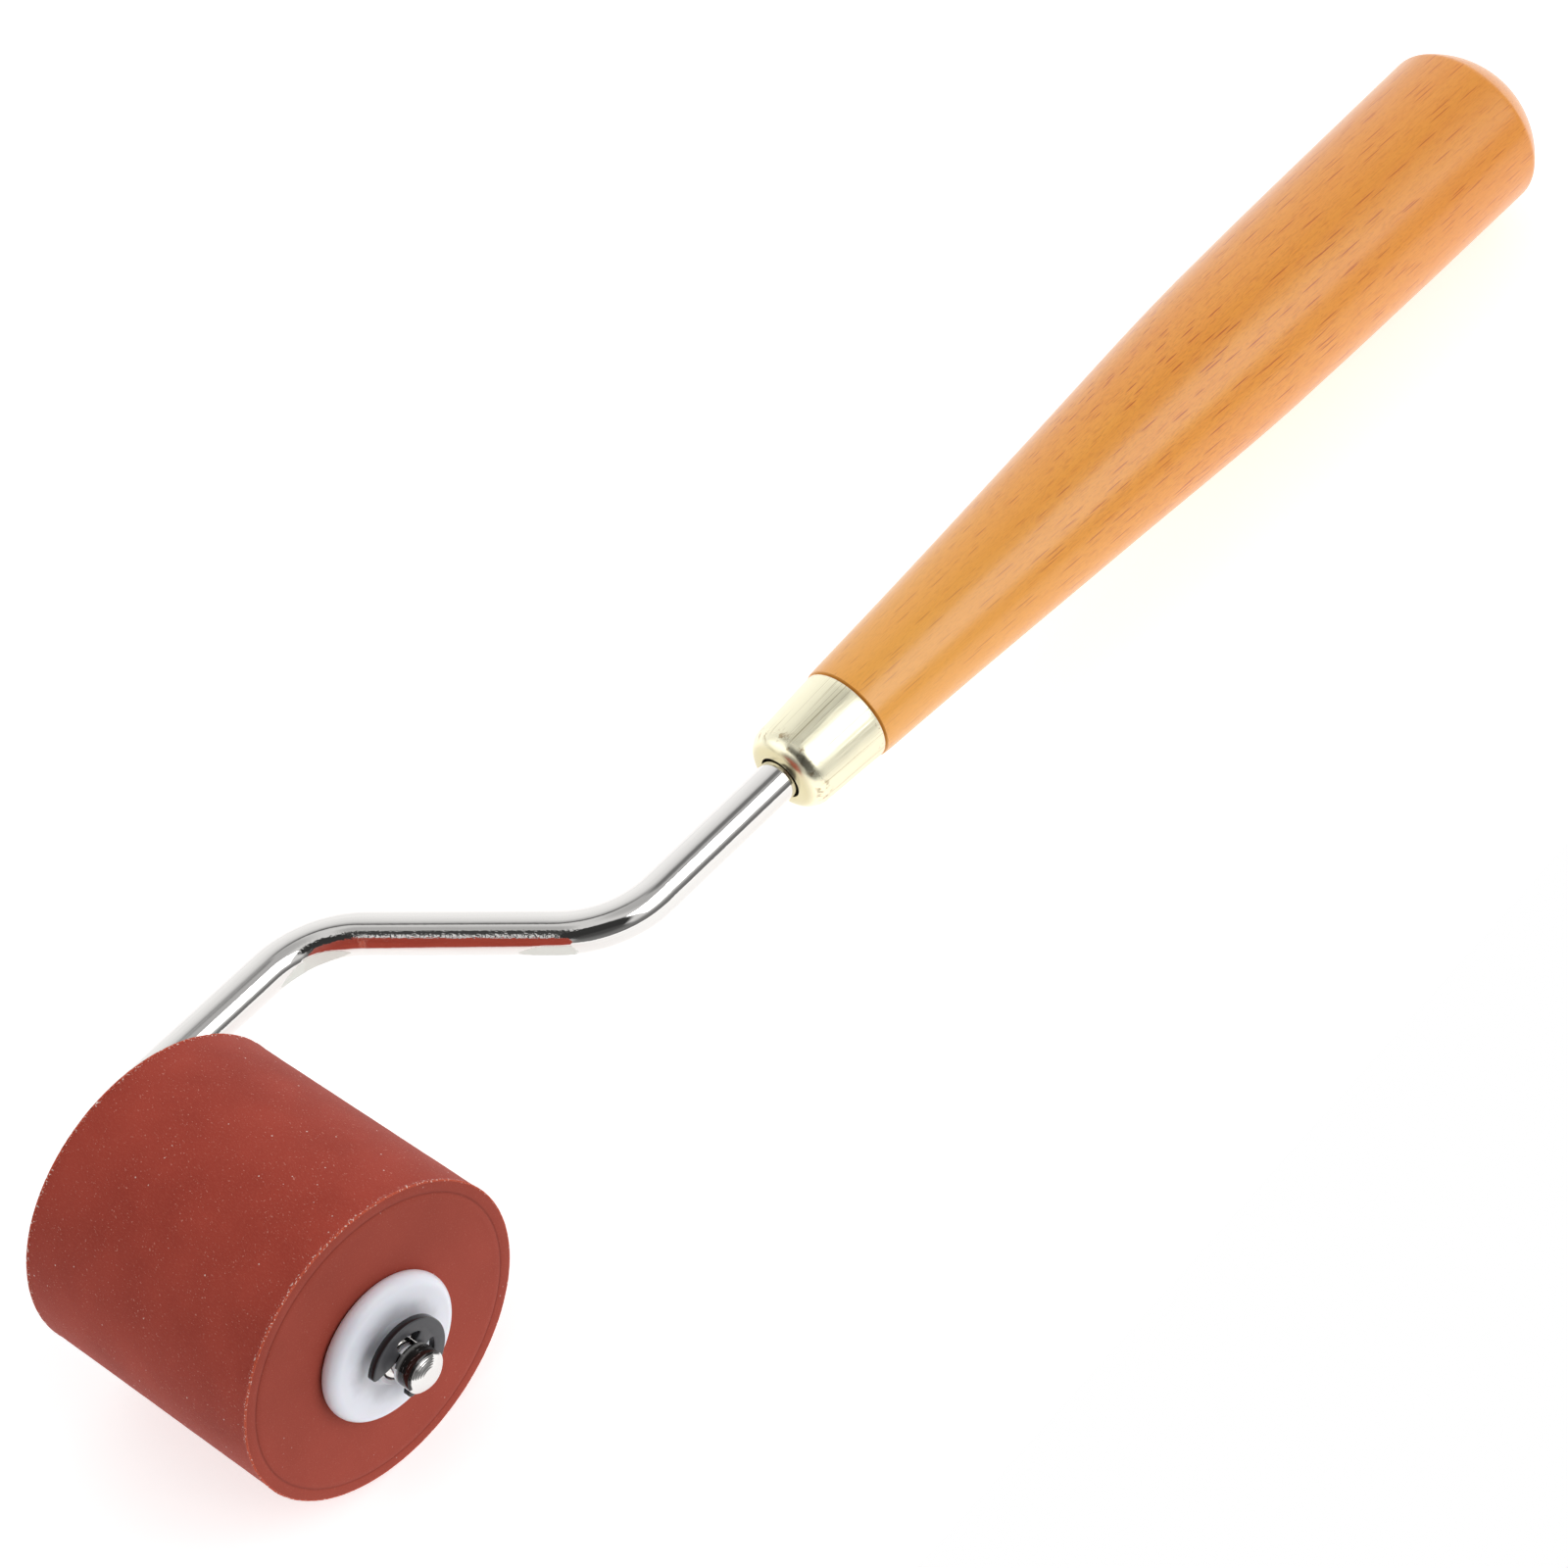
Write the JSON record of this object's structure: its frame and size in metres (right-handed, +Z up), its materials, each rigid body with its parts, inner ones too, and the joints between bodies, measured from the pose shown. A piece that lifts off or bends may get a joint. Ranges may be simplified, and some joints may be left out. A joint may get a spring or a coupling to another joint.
{
  "type": "seam roller",
  "caption": "Hand seam roller: silicone pressure roller on a cranked steel rod, with a brass ferrule and a turned wooden handle.",
  "frame": {"origin": "the line where the roller's tread rests on the bench, at the middle of the roller's width", "axes": "+X along the tool from the roller towards the butt of the handle, +Y along the roller's axis towards the crank, +Z up; the tool lies on its roller and its butt"},
  "size_m": [0.2803, 0.0677, 0.045],
  "materials": {
    "silicone": "matte ground silicone, brownish red with fine pale specks",
    "core_aluminium": "plain turned",
    "nylon": "satin moulded white",
    "black_steel": "blackened spring steel, satin",
    "bright_steel": "bright nickel plate",
    "brass": "drawn and polished, pale",
    "beech": "clear lacquered beech"
  },
  "bodies": {
    "frame": {"handle": "beech", "ferrule": "brass", "crank_rod": "bright_steel", "outer_clip": "black_steel", "inner_clip": "black_steel"},
    "roller": {"silicone_tyre": "silicone", "core_tube": "core_aluminium", "outer_bush": "nylon", "inner_bush": "nylon"}
  },
  "joints": [
    {"name": "roller_spin", "type": "hinge", "parent": "frame", "child": "roller", "pos_m": [0, 0, 0.0225], "axis": [0, 1, 0], "continuous": true}
  ]
}
